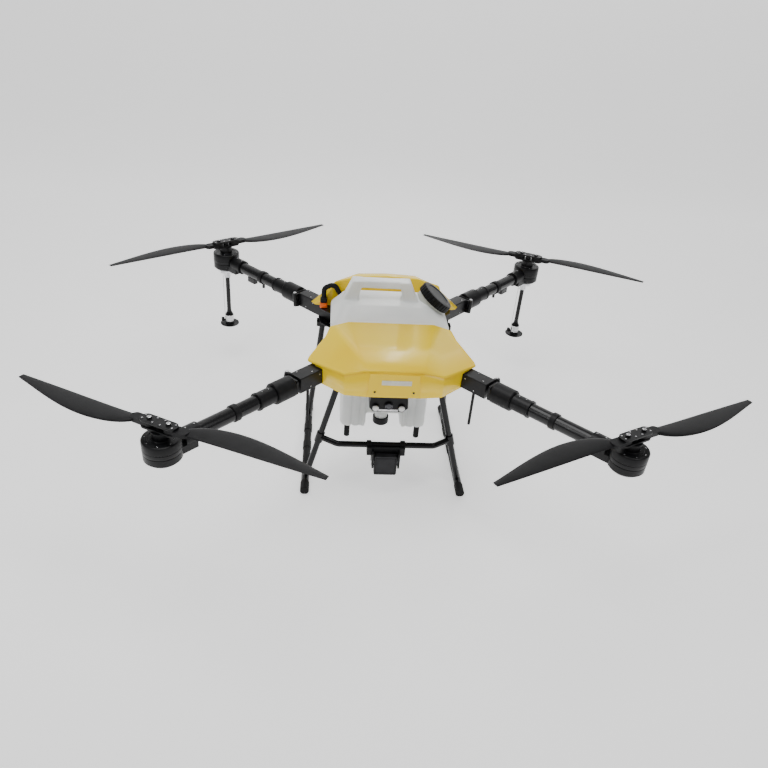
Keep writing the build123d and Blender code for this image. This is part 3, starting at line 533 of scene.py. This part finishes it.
PROP_LINES = {"front_left": -27.4, "front_right": 25.9, "rear_left": 35.4, "rear_right": -26.0}
for arm, line in PROP_LINES.items():
    centre = Vector((MOTOR * (1 if "right" in arm else -1), MOTOR * (1 if arm.startswith("rear") else -1),
                     0.5027))
    run = arm_dir(line)
    cross = Vector((-run.y, run.x, 0))
    small = [centre + run * a + cross * b for a, b in ((0.043, 0.007), (0.043, -0.007), (-0.043, 0.007),
                                                       (-0.043, -0.007), (0.011, 0.010), (-0.011, -0.010),
                                                       (0.011, -0.010), (-0.011, 0.010))]
    made(f"{arm}_hub_screws", lambda bm: screw_heads(bm, small, (0, 0, 1), 0.0023), STEEL, f"{arm}_rotor")
    big = [centre + run * a + Vector((0, 0, 0.0038)) for a in (0.0275, -0.0275)]
    made(f"{arm}_pivot_bolts", lambda bm: screw_heads(bm, big, (0, 0, 1), 0.0052, 0.002), STEEL,
         f"{arm}_rotor")

# ---------------------------------------------------------------- nozzles
for side, sign in (("left", -1), ("right", 1)):
    body = f"rear_{side}_arm"
    spot = Matrix.Translation((sign * MOTOR, MOTOR, 0))
    clamp = made(f"{side}_nozzle_clamp", lambda bm: (block(bm, (-0.023, -0.017, 0.3755), (0.023, 0.017,
                                                                                          0.3938), spot),
                                                     turned(bm, [(0.012, 0.356), (0.012, 0.377)], spot, 24)),
                 STEEL, body, 0.002)
    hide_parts(f"{side}_nozzle_hanger")
    made(f"{side}_nozzle_pole", lambda bm: (turned(bm, [(0.008, 0.208), (0.008, 0.376)], spot, 32),
                                            turned(bm, [(0.0160, 0.1955), (0.0150, 0.199), (0.0090, 0.2095),
                                                        (0.0090, 0.214)], spot, 48)), GLOSS_BLACK, body)
    made(f"{side}_nozzle_can", lambda bm: turned(bm, [(0.0150, 0.1672), (0.0165, 0.1690), (0.0165, 0.1740),
                                                      (0.0158, 0.1745), (0.0158, 0.1755), (0.0165, 0.1760),
                                                      (0.0165, 0.1950), (0.0155, 0.1960)], spot, 64), STEEL,
                                                      body,
         angle=24)
    made(f"{side}_nozzle_elbow", lambda bm: (turned(bm, [(0.005, 0.1670), (0.006, 0.168), (0.006, 0.181)],
                                                    spot @ Matrix.Translation((-0.026, 0, 0)), 20),
                                             block(bm, (-0.026, -0.003, 0.168), (-0.014, 0.003, 0.174),
                                                   spot)),
         BLACK, body, 0.0006)
    made(f"{side}_nozzle_hose", lambda bm: turned(bm, [(0.0015, 0.181), (0.0015, 0.376)],
                                                  spot @ Matrix.Translation((-0.0165, 0, 0)), 16), TUBE, body)
    dish = made(f"{side}_disc_shape", lambda bm: turned(bm, [(0.0100, 0.1532), (0.0300, 0.1545), (0.0358,
                                                                                                  0.1580),
                                                             (0.0359, 0.1600), (0.0310, 0.1600), (0.0180,
                                                                                                  0.1585),
                                                             (0.0140, 0.1655), (0.0, 0.1656)], spot, 72),
                BLACK, f"{side}_disc", angle=30)
    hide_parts(f"{side}_nozzle_disc")

# ---------------------------------------------------------------- skids, camera, radar
plug = made("plug", lambda bm: block(bm, (-0.2165, 0.1435, 0.4712), (-0.1935, 0.1645, 0.4885)), BLACK,
            "frame",
            0.004)
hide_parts("power_connector")
made("plug_socket", lambda bm: block(bm, (-0.2170, 0.1425, 0.4532), (-0.1930, 0.1655, 0.4705)), ORANGE,
     "frame",
     0.003)


def skid_tubes(bm):
    for sign in (-1, 1):
        place = frame_at((sign * 0.247, 0, 0.013), (0, 1, 0))
        turned(bm, [(0.0085, -0.2525), (0.0120, -0.2490), (0.0124, -0.2440), (0.0124, 0.2220), (0.0120,
                                                                                                0.2270),
                    (0.0085, 0.2305)], place, 32)


skids = made("skid_sleeves", skid_tubes, RUBBER, "frame", angle=30)
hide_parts("skids")


def lamps(bm, shift=0.0, radius=0.0095):
    for x in (-0.039, 0.040):
        turned(bm, [(radius, 0.0), (radius, 0.0035 + shift), (radius * 0.7, 0.0055 + shift), (0.0,
                                                                                              0.006 + shift)],
               frame_at((x, -0.1958, 0.2965), (0, -1, -0.05)), 32)


made("lamps", lamps, LAMP, "frame", angle=30)
made("camera_lens", lambda bm: turned(bm, [(0.0118, 0.0), (0.0118, 0.003), (0.0095, 0.0045), (0.0090, 0.0030),
                                           (0.0, 0.0050)], frame_at((0.001, -0.1948, 0.303), (0, -1, 0)), 40),
     LENS, "frame", angle=30)
made("camera_bracket", lambda bm: (block(bm, (-0.030, -0.1915, 0.2815), (0.030, -0.1895, 0.2890)),
                                   block(bm, (-0.045, -0.165, 0.2735), (0.045, -0.140, 0.2790))), STEEL,
                                   "frame",
     0.0006)
made("radar_back", lambda bm: block(bm, (-0.045, -0.2275, 0.118), (0.045, -0.2215, 0.166)), BLACK, "frame",
     0.001)


def radar_face(bm):
    for low, high in (((-0.031, 0.092), (0.031, 0.0945)), ((-0.031, 0.1475), (0.031, 0.150)),
                      ((-0.031, 0.092), (-0.0285, 0.150)), ((0.0285, 0.092), (0.031, 0.150))):
        block(bm, (low[0], -0.2556, low[1]), (high[0], -0.2546, high[1]))


made("radar_face_border", radar_face, BLACK, "radar", 0.0002)

# ---------------------------------------------------------------- light, floor, camera
world = bpy.data.worlds.new("studio")
bpy.context.scene.world = world
world.use_nodes = True
world.node_tree.nodes["Background"].inputs["Color"].default_value = (1, 1, 1, 1)
world.node_tree.nodes["Background"].inputs["Strength"].default_value = 0.28


def softbox(name, spot, aim, size, power):
    light = bpy.data.lights.new(name, "AREA")
    light.shape = "RECTANGLE"
    light.size = size[0]
    light.size_y = size[1]
    light.energy = power
    obj = bpy.data.objects.new(name, light)
    obj.location = spot
    obj.rotation_euler = (Vector(aim) - Vector(spot)).to_track_quat("-Z", "Y").to_euler()
    bpy.context.scene.collection.objects.link(obj)


softbox("key", (-0.5, -0.2, 2.8), (0, -0.1, 0.4), (1.8, 1.4), 34)
softbox("left strip", (-1.5, -1.3, 1.9), (0, -0.1, 0.4), (0.12, 1.4), 6)
softbox("right strip", (1.3, -1.1, 1.9), (0, -0.1, 0.4), (0.12, 1.4), 6)
softbox("back strip", (0.25, 2.0, 1.9), (0, 0.0, 0.4), (0.16, 1.6), 9)


def backdrop(bm):
    """A floor that curves up into a wall behind the machine."""
    line = [(-8.0, 0.0), (2.6, 0.0)]
    line += [(2.6 + 1.6 * math.sin(math.radians(a)),
              1.6 - 1.6 * math.cos(math.radians(a))) for a in range(10, 91, 10)]
    line.append((4.2, 7.0))
    rows = [[bm.verts.new((x, y, z - 0.0005)) for x in (-9.0, 9.0)] for y, z in line]
    for a, b in zip(rows, rows[1:]):
        bm.faces.new((a[0], a[1], b[1], b[0]))


bm = bmesh.new()
backdrop(bm)
floor_mesh = bpy.data.meshes.new("floor")
bm.to_mesh(floor_mesh)
bm.free()
for face in floor_mesh.polygons:
    face.use_smooth = True
floor = bpy.data.objects.new("floor", floor_mesh)
bpy.context.scene.collection.objects.link(floor)
floor_mesh.materials.append(surface("floor", (0.90, 0.90, 0.90), (0.93, 0.93, 0.93), 0.7, scale=2,
                                    Emission_Color=(1, 1, 1, 1), Emission_Strength=0.7))

yaw = math.radians(5.79)
pitch = math.radians(32.41)
roll = math.radians(4.84)
forward = Vector((math.sin(yaw) * math.cos(pitch), math.cos(yaw) * math.cos(pitch), -math.sin(pitch)))
right = Vector((math.cos(yaw), -math.sin(yaw), 0))
up = right.cross(forward)
right_rolled = right * math.cos(roll) + up * math.sin(roll)
up_rolled = up * math.cos(roll) - right * math.sin(roll)
camera_data = bpy.data.cameras.new("camera")
camera_data.sensor_width = 36
camera_data.lens = 32.75
camera = bpy.data.objects.new("camera", camera_data)
bpy.context.scene.collection.objects.link(camera)
turn = Matrix((right_rolled, up_rolled, -forward)).transposed().to_4x4()
camera.matrix_world = Matrix.Translation((-0.195, -1.925, 1.486)) @ turn
bpy.context.scene.camera = camera

bpy.context.view_layer.update()
